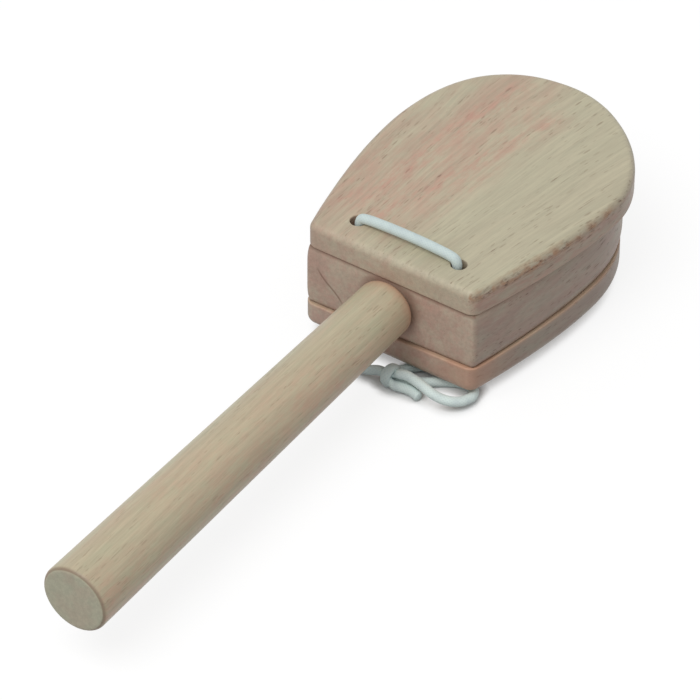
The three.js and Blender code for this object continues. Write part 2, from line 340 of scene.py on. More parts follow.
def pattern(tree, grain, key):
    size, detail, roughness, *span = grainPatterns[key]
    value = noise(tree, grain, size, detail, roughness)
    return ramp(tree, value, *span[0]) if span else value


def poreDashes(tree, grain, size, width, share):
    # Short dashes: stretched Voronoi cells, of which a share holds one dash, dark within width of its point.
    cells = addNode(tree, "ShaderNodeTexVoronoi", Scale=1.0, Randomness=1.0)
    tree.links.new(stretched(tree, grain, size), cells.inputs["Vector"])
    near = ramp(tree, cells.outputs["Distance"], width * poreCore, width, 1.0, 0.0)
    chance, darkness, _ = splitThree(tree, "ShaderNodeSeparateColor", cells.outputs["Color"])
    chosen = mathNode(tree, "LESS_THAN", chance, share)
    strength = productPlus(tree, darkness, 1 - poreFaintest, poreFaintest)
    return product(tree, product(tree, near, chosen), strength)


def woodPores(tree, grain, look):
    # The three kinds of pore added up, thicker on the ground in slow patches.
    total = 0.0
    for size, width, strength in poreKinds:
        total = productPlus(tree, poreDashes(tree, grain, size, width, look["poreShare"]), strength, total)
    return product(tree, total, pattern(tree, grain, "poreGroups"), clamp=True)


def placeFromFront(tree, y, z):
    # Object coordinates in millimetres from the place (y, z) on the block's front, whole and split in three.
    place = addNode(tree, "ShaderNodeTexCoord").outputs["Object"]
    centred = addNode(tree, "ShaderNodeMapping", Scale=(1 / mm,) * 3, Location=(-frontX, -y, -z))
    tree.links.new(place, centred.inputs["Vector"])
    return centred.outputs[0], splitThree(tree, "ShaderNodeSeparateXYZ", centred.outputs[0])


def grainSpace(tree, look):
    # Coordinates sheared so that X runs along the grain. The shear grows across the piece, which fans the
    # grain a little, and slow noise bends it.
    centred, (x, y, z) = placeFromFront(tree, 0, look["middle"])
    slope = productPlus(tree, y, -look["grainFan"], look["grainSlope"])
    sheared = productPlus(tree, slope, x, y)
    bent = productPlus(tree, pattern(tree, centred, "bend"), look["grainBend"], sheared)
    joined = tree.nodes.new("ShaderNodeCombineXYZ")
    fill(tree, joined.inputs, x, bent, z)
    shifted = addNode(tree, "ShaderNodeMapping", Location=look["seed"])
    tree.links.new(joined.outputs[0], shifted.inputs["Vector"])
    return shifted.outputs[0]


def growthLine(tree, line):
    # A thin dark line between two places (y, z) on the block's front. It wavers a little, and it fades at
    # both ends and behind the front.
    (y0, z0), (y1, z1) = line["ends"]
    length = math.hypot(y1 - y0, z1 - z0)
    wayY, wayZ = (y1 - y0) / length, (z1 - z0) / length
    _, (x, y, z) = placeFromFront(tree, y0, z0)
    along = productPlus(tree, y, wayY, product(tree, z, wayZ))
    away = productPlus(tree, y, wayZ, product(tree, z, -wayY))
    wavering = mathNode(tree, "SINE", product(tree, along, line["wave"]))
    away = mathNode(tree, "ABSOLUTE", productPlus(tree, wavering, line["waver"], away))
    dark = ramp(tree, away, line["core"], line["edge"], 1.0, 0.0)
    before, after = line["endFade"]
    starts = ramp(tree, along, before, after)
    ends = ramp(tree, along, length - after, length - before, 1.0, 0.0)
    onFront = ramp(tree, x, *line["depthFade"], 1.0, 0.0)
    faded = product(tree, product(tree, starts, ends), onFront)
    return product(tree, product(tree, dark, faded), line["strength"])


def plainWood(tree, grain, fibres, look):
    # Straw that drifts towards tan in broad mottled streaks, with pink where the mesh asks for it, all
    # darkened a little by growth bands, lines and fibres. On the handle's underside and right side that pink
    # is painted shade.
    mottled = product(tree, pattern(tree, grain, "streaks"), 1 - look["mottle"])
    tone = productPlus(tree, pattern(tree, grain, "mottles"), look["mottle"], mottled)
    streaks = product(tree, ramp(tree, tone, *look["tanRange"]), attribute(tree, "tanShare"))
    colour = mixColour(tree, product(tree, streaks, look["streakShare"]), look["straw"], look["tan"])
    broken = productPlus(tree, pattern(tree, grain, "blotches"), look["blushBreak"], 1 - look["blushBreak"])
    # Pink, which on the handle's underside and right side is painted shade.
    pinkAndShade = product(tree, attribute(tree, "pinkAndShade"), broken, clamp=True)
    colour = mixColour(tree, pinkAndShade, colour, look["pink"])
    shade = productPlus(tree, pattern(tree, grain, "bands"), look["bandDepth"], 1 - look["bandDepth"] / 2)
    for value, depth in ((pattern(tree, grain, "lines"), look["lineDepth"]), (fibres, look["fibreDepth"])):
        shade = productPlus(tree, mathNode(tree, "SUBTRACT", value, 0.5), depth, shade)
    scaled = addNode(tree, "ShaderNodeVectorMath", operation="SCALE")
    fill(tree, (scaled.inputs[0], scaled.inputs["Scale"]), colour, shade)
    return scaled.outputs[0]


def woodMaterial(name, look):
    # Plain wood, then pores as short brown dashes along the grain, fainter on the end grain and deeper on the
    # side faces. Attributes of the mesh add the tint of end grain, painted shade on the side faces, painted
    # warm light at the seams, dark lines with painted shade, and torn flecks. Fibres and pores roughen the
    # lacquer.
    material, tree, shader = newMaterial(name)
    grain = grainSpace(tree, look)
    fibres = pattern(tree, grain, "fibres")
    pores = woodPores(tree, grain, look)
    endGrain, sawnAndShade, torn = (attribute(tree, key) for key in ("endGrain", "sawnSideAndShade", "nick"))
    depth = productPlus(tree, endGrain, -look["poreChange"], look["poreDepth"])
    depth = productPlus(tree, sawnAndShade, look["poreChange"], depth)
    colour = plainWood(tree, grain, fibres, look)
    colour = mixColour(tree, product(tree, pores, depth, clamp=True), colour, look["pore"])
    colour = mixColour(tree, endGrain, colour, look["endTint"], "MULTIPLY")
    # Faces turned to either side are darkened: painted shade.
    colour = mixColour(tree, sawnAndShade, colour, look["sideShadeTint"], "MULTIPLY")
    # A warm orange on the rims beside the seams: painted light.
    colour = mixColour(tree, attribute(tree, "seamWarmLight"), colour, look["warmLightColour"])
    # Dark lines, with painted shade at the block's seams, round the neck and under the handle.
    colour = mixColour(tree, attribute(tree, "darkLineAndShade"), colour, look["lineAndShadeColour"])
    if "growthLine" in look:
        colour = mixColour(tree, growthLine(tree, look["growthLine"]), colour, look["lineAndShadeColour"])
    ragged = productPlus(tree, pattern(tree, grain, "tornFlecks"), *look["fleckContrast"], clamp=True)
    patches = pattern(tree, grain, "tornPatches")
    colour = mixColour(tree, product(tree, torn, patches), colour, look["tornColour"])
    colour = mixColour(tree, product(tree, torn, ragged), colour, look["nickColour"])
    tree.links.new(colour, shader.inputs["Base Color"])
    gloss = productPlus(tree, fibres, look["fibreRough"], look["roughness"] - look["fibreRough"] / 2)
    gloss = productPlus(tree, pores, look["poreRough"], gloss)
    gloss = productPlus(tree, endGrain, look["endRough"], gloss)
    tree.links.new(gloss, shader.inputs["Roughness"])
    shader.inputs["Specular IOR Level"].default_value = look["specular"]
    shader.inputs["Coat Weight"].default_value = look["coat"]
    shader.inputs["Coat Roughness"].default_value = look["coatRough"]
    height = productPlus(tree, pores, -1.0, product(tree, fibres, look["fibreHeight"]))
    addBump(tree, shader, height, look["bump"], look["bumpHeight"] * mm)
    return material


def elasticMaterial(name, look):
    # Off-white yarn with a cool tint, with painted shade in the grooves of the braid, and darker in slow
    # patches. Two sets of fine slanting stripes on the cord's UV map are the yarns, and sheen is their fuzz.
    material, tree, shader = newMaterial(name)
    place = addNode(tree, "ShaderNodeTexCoord")
    u, v, _ = splitThree(tree, "ShaderNodeSeparateXYZ", place.outputs["UV"])
    along = product(tree, u, 2 * math.pi / look["yarnPitch"])
    around = product(tree, v, 2 * math.pi * look["yarns"])
    sets = [mathNode(tree, "SINE", mathNode(tree, way, along, around)) for way in ("ADD", "SUBTRACT")]
    weave = mathNode(tree, "MAXIMUM", *sets)
    dirt = noise(tree, place.outputs["Object"], (look["patchSize"] * mm,) * 2, *look["patchNoise"])
    colour = mixColour(tree, ramp(tree, weave, *look["grooveShadeRange"]), look["grooveShade"], look["yarn"])
    colour = mixColour(tree, ramp(tree, dirt, *look["patchRange"]), colour, look["patch"])
    tree.links.new(colour, shader.inputs["Base Color"])
    shader.inputs["Roughness"].default_value = look["roughness"]
    shader.inputs["Sheen Weight"].default_value = look["sheen"]
    shader.inputs["Sheen Roughness"].default_value = look["sheenRough"]
    addBump(tree, shader, weave, look["bump"], look["bumpHeight"] * mm)
    return material


def linear(red, green, blue):
    # A screen colour of 0 to 255 as the renderer's linear value, by the two parts of the sRGB curve.
    share = np.array([red, green, blue]) / 255
    curve = np.where(share <= 0.04045, share / 12.92, ((share + 0.055) / 1.055) ** 2.4)
    return tuple(float(c) for c in curve)


woodLook = {
    "straw": linear(185, 179, 153),
    "tan": linear(178, 157, 136),
    "pink": linear(189, 148, 130),
    "pore": linear(112, 84, 66),
    # Dark lines, and painted shade at the seams, round the neck and under the handle.
    "lineAndShadeColour": linear(112, 78, 62),
    "endTint": linear(255, 250, 255),
    # Painted warm light on the rims beside the seams.
    "warmLightColour": linear(190, 146, 120),
    # The side tint is painted shade on the faces turned to either side.
    "sideShadeTint": linear(226, 220, 224),
    "nickColour": linear(88, 60, 42),
    "tornColour": linear(158, 122, 94),
    "grainSlope": 0.07,
    "grainFan": 0.0035,
    "grainBend": 2.4,
    "streakShare": 0.8,
    "mottle": 0.4,  # how much of the tan drift is short mottles instead of long streaks
    "tanRange": (0.4, 0.6),
    "blushBreak": 0.8,  # how much the blotches break up the pink
    "bandDepth": 0.08,
    "lineDepth": 0.14,
    "fibreDepth": 0.28,
    "poreShare": 0.8,
    "poreDepth": 0.62,
    "poreChange": 0.45,  # how much fainter pores are on end grain, and deeper on sawn sides
    "fleckContrast": (6.0, -3.0),
    "roughness": 0.5,
    "fibreRough": 0.16,
    "poreRough": 0.2,
    "endRough": 0.12,
    "specular": 0.35,
    "coat": 0.22,
    "coatRough": 0.3,
    "bump": 0.5,
    "bumpHeight": 0.12,
    "fibreHeight": 0.35,
    "middle": middleZ,
    "seed": (13.0, 2.0, 31.0),  # where in the patterns the piece is cut
}
blockWood = {
    **woodLook,
    "grainSlope": -0.05,
    "grainFan": 0.0,
    "seed": (71.0, 40.0, 9.0),
    "endTint": linear(255, 246, 254),
    # Darker painted shade on the block's side faces.
    "sideShadeTint": linear(216, 210, 216),
    "bandDepth": 0.2,
    "growthLine": {
        "ends": ((20.3, 20.9), (12.9, 12.7)), "core": 0.088, "edge": 0.44, "wave": 0.55, "waver": 0.3,
        "endFade": (-0.5, 2.0), "depthFade": (0.6, 1.6), "strength": 0.65,
    },
}
bottomWood = {
    **woodLook,
    "grainSlope": 0.03,
    "grainFan": 0.0,
    "seed": (-33.0, 17.0, 57.0),
    "endTint": linear(255, 244, 254),
    # Darker still: painted shade on the bottom clapper's side faces.
    "sideShadeTint": linear(200, 196, 202),
}
handleWood = {
    **woodLook,
    "straw": linear(183, 179, 150),
    "tan": linear(185, 169, 143),
    "pink": linear(198, 153, 132),
    "streakShare": 0.6,
    "grainSlope": 0.0,
    "grainFan": 0.0,
    "seed": (5.0, -60.0, 22.0),
    "middle": axisZ,
    "coat": 0.12,
    "roughness": 0.44,
    "poreDepth": 0.45,
    "fibreDepth": 0.26,
    "endTint": linear(243, 245, 255),
}
elasticColours = {
    "yarn": linear(204, 218, 215),
    # Painted shade in the braid's grooves.
    "grooveShade": linear(195, 210, 211),
    "patch": linear(188, 201, 203),
    "grooveShadeRange": (-0.6, 0.7),
    "patchRange": (0.45, 0.75, 0.0, 0.5),
    "patchSize": 2.5,
    "patchNoise": (2.0, 0.5),
    "yarnPitch": 0.85,
    "yarns": 10,
    "roughness": 0.75,
    "sheen": 0.1,
    "sheenRough": 0.5,
    "bump": 0.2,
    "bumpHeight": 0.04,
}
# The elastic's colours, brightened for the bow: painted light.
bowLitColours = {
    **elasticColours,
    "yarn": linear(222, 236, 232),
    # Painted shade in the braid's grooves.
    "grooveShade": linear(213, 227, 225),
    "patch": linear(193, 206, 208),
}
elasticCover = elasticMaterial("elasticCover", elasticColours)
bowLitCover = elasticMaterial("bowLitCover", bowLitColours)  # a brighter copy of the elastic: painted light on the loose cord under the front edge
print("materials made")


# Elastic: the stitch over the top clapper, two strands below it with the knot, and the bow with its tail

holes = {"fromFront": 7.5, "halfSpacing": 13.9, "radius": 1.9, "flare": 0.3, "cordIn": 0.55}
stitch = {"sunk": 0.3, "bend": 1.6, "arch": 0.6, "shoulder": 0.75}
knot = {
    "forward": 4.6,
    "side": -3.3,
    "radius": 2.9,
    "wrapRadius": 2.02,
    "turned": 420,  # degrees that the band goes round
    "turnStep": 20,
    "drift": 0.8,  # how far the band moves along the knot on its way
    "tuckFrom": 300,  # degrees, after which its end goes in under the start
    "tuckIn": 1.15,
    "half": 1.35,
    "thick": 0.86,
    "easeOut": 1.6,  # the strand flattens from this far outside the band
    "easeOver": 1.4,
    "reach": 4,  # above the bottom clapper's outer face
}
strandHeight = 1.5
insideBlock = 3  # how far past the block's middle a strand begins


def quarterBend(x, y, ux, uy, start, end):
    # Three points of a quarter circle from upright into the level direction (ux, uy).
    radius = abs(end - start)
    out = radius * (1 - math.sqrt(0.5))
    height = start + (end - start) * math.sqrt(0.5)
    return [[x, y, start], [x + ux * out, y + uy * out, height], [x + ux * radius, y + uy * radius, end]]


def makeTopStitch():
    # Up from the middle of the block, over the top clapper in a low arch and down again: one mirrored path.
    x, y = holes["fromFront"], holes["halfSpacing"] - holes["cordIn"]
    start = topHigh - stitch["sunk"]
    level = start + stitch["bend"]
    half = [[x, y, middleZ], [x, y, middleZ + insideBlock], [x, y, start - stitch["bend"]]]
    half += quarterBend(x, y, 0, -1, start, level)
    half.append([x, y / 2, level + stitch["shoulder"] * stitch["arch"]])
    other = [[p[0], -p[1], p[2]] for p in reversed(half)]
    path = smoothPath(intoFrame(half + [[x, 0, level + stitch["arch"]]] + other), elasticLook["spacing"])
    piece = addTube("elasticStitch", path, (1, 0, 0), elasticCover)
    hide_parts("elastic_top_stitch", "elastic_leg_left", "elastic_leg_right")
    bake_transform(piece)


def blendBelow(piece):
    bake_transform(piece)


def strandPoints(side, exitWay, onward):
    # Down from the middle of the block on one side, and then level under the bottom clapper.
    x, y = holes["fromFront"], side * (holes["halfSpacing"] - holes["cordIn"])
    top = strandHeight + stitch["bend"]
    down = [[x, y, middleZ], [x, y, middleZ - insideBlock], [x, y, top + stitch["bend"]]]
    return down + quarterBend(x, y, *exitWay, top, strandHeight) + onward


def makeLeftStrand():
    onward = [
        [2.4, 11.4, strandHeight],
        [-2.2, 8.7, strandHeight],
        [-5, 5.4, strandHeight + 0.1],
        [-5.3, 2, strandHeight + 0.8],
        [-4.7, -0.2, strandHeight + 1.3],
        [-4.6, -1.8, strandHeight + 1.4],
        [-4.5, -4.2, strandHeight + 1.5],
    ]
    path = smoothPath(intoFrame(strandPoints(1, (-0.91, -0.41), onward)), elasticLook["spacing"])
    piece = addTube("elasticStrandLeft", path, (1, 0, 0), elasticCover)
    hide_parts("elastic_under_left")
    blendBelow(piece)


def makeRightStrand():
    # The strand runs on as the band of the knot: a circle in X and Z round the other strands that drifts in
    # Y, its section pressed flat against them, and its end tucked in under the start.
    onward = [[5.1, -8.8, strandHeight], [2.2, -5.7, strandHeight], [-0.6, -4.2, strandHeight + 0.5]]
    turned = np.arange(0, knot["turned"] + 1, knot["turnStep"])
    share = turned / knot["turned"]
    tuck = np.clip((turned - knot["tuckFrom"]) / (knot["turned"] - knot["tuckFrom"]), 0, 1)
    wrapRadius = knot["wrapRadius"] - knot["tuckIn"] * tuck ** 1.5
    wrap = np.column_stack([
        -knot["forward"] + wrapRadius * np.cos(np.radians(turned)),
        knot["side"] + knot["drift"] * (share - 0.5),
        knot["radius"] + wrapRadius * np.sin(np.radians(turned)),
    ])
    points = strandPoints(-1, (-0.44, 0.9), onward) + wrap.tolist()
    path = smoothPath(intoFrame(points), elasticLook["spacing"])
    radius = elasticLook["diameter"] / 2
    fromAxis = path - intoFrame([-knot["forward"], 0, knot["radius"]])
    fromAxis[:, 1] = 0
    distance = np.linalg.norm(fromAxis, axis=1)
    inWrap = smoothStep((knot["wrapRadius"] + knot["easeOut"] - distance) / knot["easeOver"])
    inWrap *= path[:, 2] < bottomLow + knot["reach"]
    wide = radius + (knot["half"] - radius) * inWrap
    thick = radius + (knot["thick"] - radius) * inWrap
    side, cross = carriedFrames(path, (1, 0, 0))
    first = int(np.argmax(inWrap > 0.98))  # from here on the section keeps its flat side outwards
    outward = fromAxis[first] / distance[first]
    align = math.atan2(outward @ cross[first], outward @ side[first])
    turn = align * np.clip(np.arange(len(path)) / first, 0, 1)
    piece = addTube("elasticStrandRight", path, (1, 0, 0), elasticCover, wide=wide, thick=thick, turn=turn)
    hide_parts("elastic_under_right", "elastic_knot")
    blendBelow(piece)


# The bow's free cord, in metres from the block's front face: out of the knot, round the loop, back through
# the knot and out again as the cut tail.
bowRoute = [
    [-0.0045, -0.0036, 0.0031],
    [-0.0042, -0.0048, 0.0036],
    [-0.0041, -0.0056, 0.0039],
    [-0.0037, -0.0074, 0.0040],
    [-0.0039, -0.0096, 0.0039],
    [-0.0047, -0.0128, 0.0039],
    [-0.0054, -0.0161, 0.0036],
    [-0.0050, -0.0187, 0.0031],
    [-0.0035, -0.0209, 0.0025],
    [-0.0013, -0.0221, 0.0020],
    [0.0011, -0.0224, 0.0016],
    [0.0033, -0.0213, 0.0013],
    [0.0041, -0.0195, 0.0012],
    [0.0037, -0.0170, 0.0012],
    [0.0026, -0.0147, 0.0012],
    [0.0012, -0.0126, 0.0012],
    [-0.0004, -0.0106, 0.0012],
    [-0.0020, -0.0085, 0.0013],
    [-0.0030, -0.0070, 0.0013],
    [-0.0033, -0.0058, 0.0013],
    [-0.0034, -0.0047, 0.0016],
    [-0.0036, -0.0034, 0.0022],
    [-0.0044, -0.0024, 0.0028],
    [-0.0055, -0.0028, 0.0030],
    [-0.0060, -0.0041, 0.0024],
    [-0.0059, -0.0055, 0.0017],
    [-0.0052, -0.0079, 0.0014],
    [-0.0051, -0.0101, 0.0013],
    [-0.0058, -0.0124, 0.0012],
]
knotPress = {"share": 0.72, "from": 0.8, "over": 2.0}  # how thin the knot presses the cord, and where


def makeBow():
    path = smoothPath(intoFrame(np.array(bowRoute) / mm), elasticLook["spacing"])
    fromKnot = np.abs(path[:, 1] - knot["side"])
    free = smoothStep((fromKnot - knotPress["from"]) / knotPress["over"])
    size = elasticLook["diameter"] / 2 * (knotPress["share"] + (1 - knotPress["share"]) * free)
    piece = addTube("elasticBow", path, (0, 0, 1), bowLitCover, wide=size, thick=size)
    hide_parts("elastic_bow_loop", "elastic_tail")
    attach(piece, "lower_clapper")


makeBow()
makeTopStitch()
makeLeftStrand()
makeRightStrand()


# Wood of the head: three rounded plates and their holes and dishes

blockPlan = {
    "front": 0, "frontHalf": 23.4, "corner": 1.6, "sideReach": 26,
    "maxHalf": 29.5, "maxAt": 42.4, "end": 75.4, "fullness": 0.58,
}
topPlan = {
    **blockPlan, "frontHalf": 22.8, "corner": 2.6, "maxHalf": 29.4, "end": 78.8, "fullness": 0.64,
    "right": {"sideReach": 30, "maxHalf": 31.6, "maxAt": 48, "fullness": 0.47},
}
bottomPlan = {
    **blockPlan, "front": -0.6, "frontHalf": 23.2, "corner": 3, "maxHalf": 29.9, "maxAt": 42, "end": 73.6,
}
# Each edge's inset at the sides, its inset at the front, and its height
edges = {
    "topOuter": (1.9, 1.9, 1.9), "bottomOuter": (2.6, 2.6, 2.6), "inner": (0.4, 0.4, 0.4),
    "blockLow": (0.8, 0.35, 3.8), "blockHigh": (1.0, 0.45, 4.8),
}
seams = {
    "closeUp": 0.07,  # how much nearer each seam face lies than its CAD face
    "roll": 0.026,  # the lower seam's slope across the head, lower on the left
    "wander": 0.08,  # how far the edges stray
}
dish = {"radius": 18, "depth": 2.6, "centre": 44}
handle = {
    "length": 121.4, "endRadius": 8.4, "neckRadius": 7.1, "endRound": 1.2, "neckRound": 1.9,
    "tenonRadius": 4.5, "tenonLength": 22, "neckGap": 0.3,
}
meshSteps = {
    "front": 48, "corner": 14, "side": 96, "head": 120, "round": 11, "wall": 10, "face": 22, "dish": 14,
    "drill": 40, "flare": 5, "turned": 128, "neck": 9, "taper": 160, "handleEnd": 12,
}
firstRing = 0.02  # share of the way to the dish, close enough to keep an edge's shading off the flat
axisGap = 0.01  # where a turned profile stops short of its axis


def curveRow(points, degree, t):
    # A Bezier curve of degree 2 or 3 through its first and last points, and its direction.
    p = [np.array(point, float)[None] for point in points]
    t = t[:, None]
    s = 1 - t
    if degree == 2:
        place = s * s * p[0] + 2 * s * t * p[1] + t * t * p[2]
        along = 2 * s * (p[1] - p[0]) + 2 * t * (p[2] - p[1])
    else:
        place = s ** 3 * p[0] + 3 * s * s * t * p[1] + 3 * s * t * t * p[2] + t ** 3 * p[3]
        along = 3 * s * s * (p[1] - p[0]) + 6 * s * t * (p[2] - p[1]) + 3 * t * t * (p[3] - p[2])
    return place, along


def halfOutline(plan):
    # Half an outline from the middle of the front to just before the tip: a straight line, a corner arc, a
    # quadratic side and a cubic head. Each row is x, y and the outward normal.
    r = plan["corner"]
    slope = math.atan2(plan["maxHalf"] - plan["frontHalf"], plan["sideReach"])
    cx = plan["front"] + r
    cy = plan["frontHalf"] - r * (1 - math.sin(slope)) / math.cos(slope)
    reach = plan["end"] - plan["maxAt"]
    widest = (plan["maxAt"], plan["maxHalf"])
    t = np.linspace(0, 1, meshSteps["front"], endpoint=False)
    front = np.column_stack([np.full_like(t, plan["front"]), cy * t, -np.ones_like(t), 0 * t])
    a = math.pi + np.linspace(0, 1, meshSteps["corner"], endpoint=False) * (slope - math.pi / 2)
    rows = [front, np.column_stack([cx + r * np.cos(a), cy + r * np.sin(a), np.cos(a), np.sin(a)])]
    side = [(cx - r * math.sin(slope), cy + r * math.cos(slope)),
            (plan["front"] + plan["sideReach"], plan["maxHalf"]), widest]
    head = [widest, (plan["maxAt"] + plan["fullness"] * reach, plan["maxHalf"]),
            (plan["end"], plan["fullness"] * plan["maxHalf"]), (plan["end"], 0)]
    for points, degree, count in ((side, 2, meshSteps["side"]), (head, 3, meshSteps["head"])):
        place, along = curveRow(points, degree, np.linspace(0, 1, count, endpoint=False))
        along /= np.linalg.norm(along, axis=1)[:, None]
        rows.append(np.column_stack([place, -along[:, 1], along[:, 0]]))
    return np.vstack(rows)


def planOutline(plan):
    # Both halves and the tip, anticlockwise. A plan's right values hold on its -Y side.
    left = halfOutline(plan)
    right = halfOutline({**plan, **plan.get("right", {})})[:0:-1] * [1, -1, 1, -1]
    return np.vstack([left, [[plan["end"], 0, 1, 0]], right])[::-1]


def edgeProfile(low, high, lowEdge, highEdge):
    # Rows of inset at the sides, inset at the front and height: a quarter of an ellipse, the wall in even
    # steps, and a quarter of an ellipse.
    a = np.linspace(0, math.pi / 2, meshSteps["round"])
    bend = np.column_stack([1 - np.sin(a), 1 - np.sin(a), 1 - np.cos(a)])
    lower = [0, 0, low] + bend * lowEdge
    upper = ([0, 0, high] + bend * highEdge * [1, 1, -1])[::-1]
    t = np.linspace(0, 1, meshSteps["wall"] + 1)[1:-1]
    wall = np.column_stack([0 * t, 0 * t, lower[-1, 2] + (upper[0, 2] - lower[-1, 2]) * t])
    return np.vstack([lower, wall, upper])


def dishHeight(distance):
    # Depth of a spherical dish at a distance from its centre.
    sphere = (dish["radius"] ** 2 + dish["depth"] ** 2) / (2 * dish["depth"])
    inside = np.clip(distance, 0, dish["radius"])
    return np.sqrt(sphere ** 2 - inside ** 2) - (sphere - dish["depth"])


def faceRings(edge, z, hollow):
    # Rings from the edge of a flat face to the dish's rim, and from there to its centre. hollow is 0 for no
    # dish, 1 for one that goes up and -1 for one that goes down.
    centre = np.array([dish["centre"], 0])
    away = edge - centre
    angle = np.arctan2(away[:, 1], away[:, 0])
    rim = centre + dish["radius"] * np.column_stack([np.cos(angle), np.sin(angle)])
    shares = np.concatenate([[firstRing], np.linspace(0, 1, meshSteps["face"])[1:]])
    rings = [np.column_stack([edge + (rim - edge) * t, np.full(len(edge), z)]) for t in shares]
    for t in np.linspace(1, 0, meshSteps["dish"], endpoint=False)[1:]:
        flat = centre + (rim - centre) * t
        depth = hollow * dishHeight(dish["radius"] * t)
        rings.append(np.column_stack([flat, np.full(len(edge), z + depth)]))
    middle = np.array([*centre, z + hollow * dishHeight(0)])
    return np.array(rings), middle


def edgeWander(count, seed):
    # How far a hand-sanded edge strays, in shares of its amount: five slow waves round the outline.
    draw = np.random.default_rng(seed)
    angle = np.linspace(0, 2 * math.pi, count, endpoint=False)
    waves = [np.cos(n * angle + draw.uniform(0, 2 * math.pi)) / math.sqrt(n) for n in (3, 7, 12, 19, 31)]
    return sum(waves) / 2


def plateRings(spec, seed):
    # The edge profile carried round the outline, with the faces' rings inside it. A face's roll slopes it
    # across the head, and the edge between the two faces takes its share of each slope.
    low, high = spec["low"], spec["high"]
    outline = planOutline(spec["plan"])
    profile = edgeProfile(low, high, spec["lowEdge"], spec["highEdge"])
    facing = np.maximum(0, -outline[:, 2]) ** 3  # 1 on the front, 0 at the sides
    stray = edgeWander(len(outline), seed) * seams["wander"]
    level = (profile[:, 2] - low) / (high - low)
    inset = profile[:, :1] * (1 - facing) + profile[:, 1:2] * facing + stray * level[:, None]
    place = outline[None, :, :2] - inset[..., None] * outline[None, :, 2:]
    height = np.broadcast_to(profile[:, 2:], place.shape[:2])
    wall = np.dstack([place, height])
    hollow = spec["hollow"]
    under, underMiddle = faceRings(wall[0, :, :2], low, max(hollow, 0))
    over, overMiddle = faceRings(wall[-1, :, :2], high, min(hollow, 0))
    rings = np.vstack([under[::-1], wall, over])
    share = np.clip((rings[..., 2] - low) / (high - low), 0, 1)
    rings[..., 2] -= rings[..., 1] * (spec["lowRoll"] * (1 - share) + spec["highRoll"] * share)
    return rings, underMiddle, overMiddle


def latheMesh(name, profile, sides, axis):
    # A profile of (radius, height) turned about an axis, closed by the profile's own first and last points.
    angle = np.linspace(0, 2 * math.pi, sides, endpoint=False)
    radius, height = np.array(profile, float).T
    ring = np.stack([radius[:, None] * np.cos(angle), radius[:, None] * np.sin(angle),
                     np.broadcast_to(height[:, None], (len(radius), sides))], -1)
    if axis == "X":
        ring = ring[..., [2, 0, 1]]
    return closedRings(name, ring, ring[0].mean(0), ring[-1].mean(0))


def drill(piece, cutters):
    # Cuts the cutters out of the piece, keeps the result as its mesh and removes them.
    for cutter in cutters:
        modifier = piece.modifiers.new("hole", "BOOLEAN")
        modifier.object = cutter
        modifier.operation = "DIFFERENCE"
        modifier.solver = "EXACT"
    bpy.context.view_layer.update()
    result = bpy.data.meshes.new_from_object(piece.evaluated_get(bpy.context.evaluated_depsgraph_get()))
    piece.modifiers.clear()
    old = piece.data
    piece.data = result
    bpy.data.meshes.remove(old)
    for cutter in cutters:
        bpy.data.objects.remove(cutter)


def holeCutter(x, y, low, high, past=1):
    # A drill that goes past both faces, with a small rounded flare where it meets each.
    r, flare = holes["radius"], holes["flare"]
    a = np.linspace(0, math.pi / 2, meshSteps["flare"])
    lower = [[r + flare * (1 - math.sin(t)), low + flare * (1 - math.cos(t))] for t in a]
    upper = [[p[0], high + low - p[1]] for p in reversed(lower)]
    first = [[axisGap, low - past], [r + flare, low - past]]
    last = [[r + flare, high + past], [axisGap, high + past]]
    mesh = latheMesh("holeCutter", first + lower + upper + last, meshSteps["drill"], "Z")
    cutter = bpy.data.objects.new("holeCutter", mesh)
    mesh.transform(Matrix.Translation(((x + frontX) * mm, y * mm, 0)))
    bpy.context.scene.collection.objects.link(cutter)
    return cutter


def paintAttributes(mesh, values):
    # One share from 0 to 1 for each vertex, for every attribute that the wood reads.
    for key in ("endGrain", "sawnSideAndShade", "seamWarmLight", "darkLineAndShade", "tanShare", "pinkAndShade", "nick"):
        layer = mesh.attributes.new(key, "FLOAT", "POINT")
        shares = np.broadcast_to(values.get(key, 0), len(mesh.vertices))
        layer.data.foreach_set("value", np.clip(shares, 0, 1).astype(np.float32))


def vertexArrays(mesh):
    place = np.empty(len(mesh.vertices) * 3, np.float32)
    mesh.vertices.foreach_get("co", place)
    normal = np.empty(len(mesh.vertices) * 3, np.float32)
    mesh.vertex_normals.foreach_get("vector", normal)
    return place.reshape(-1, 3).astype(float) / mm - [frontX, 0, 0], normal.reshape(-1, 3).astype(float)


def finishWood(mesh, angle):
    # Smooth shading, except where faces meet at more than the angle in degrees.
    mesh.polygons.foreach_set("use_smooth", np.ones(len(mesh.polygons), bool))
    mesh.set_sharp_from_angle(angle=math.radians(angle))
    mesh.update()


# Pink streaks of the top clapper: places along each as (x, y), its half width and its strength
topBlush = [
    {"along": [(8, 18), (17, 17), (39, 14.9), (58, 13.2), (76, 9)], "half": 3.4, "strength": 0.75},
    {"along": [(3, 22), (15, 22.4), (25, 23.6), (40, 24)], "half": 3.0, "strength": 0.45},
    {"along": [(6, 12), (18, 9.2), (29, 5.7), (39, 3.7), (60, -2), (70, -4)], "half": 3.4, "strength": 0.7},
    {"along": [(3, 6), (12, 4), (30, 0), (45, -3)], "half": 2.0, "strength": 0.4},
    {"along": [(30, 9), (45, 8), (62, 4), (74, 2)], "half": 2.4, "strength": 0.4},
]
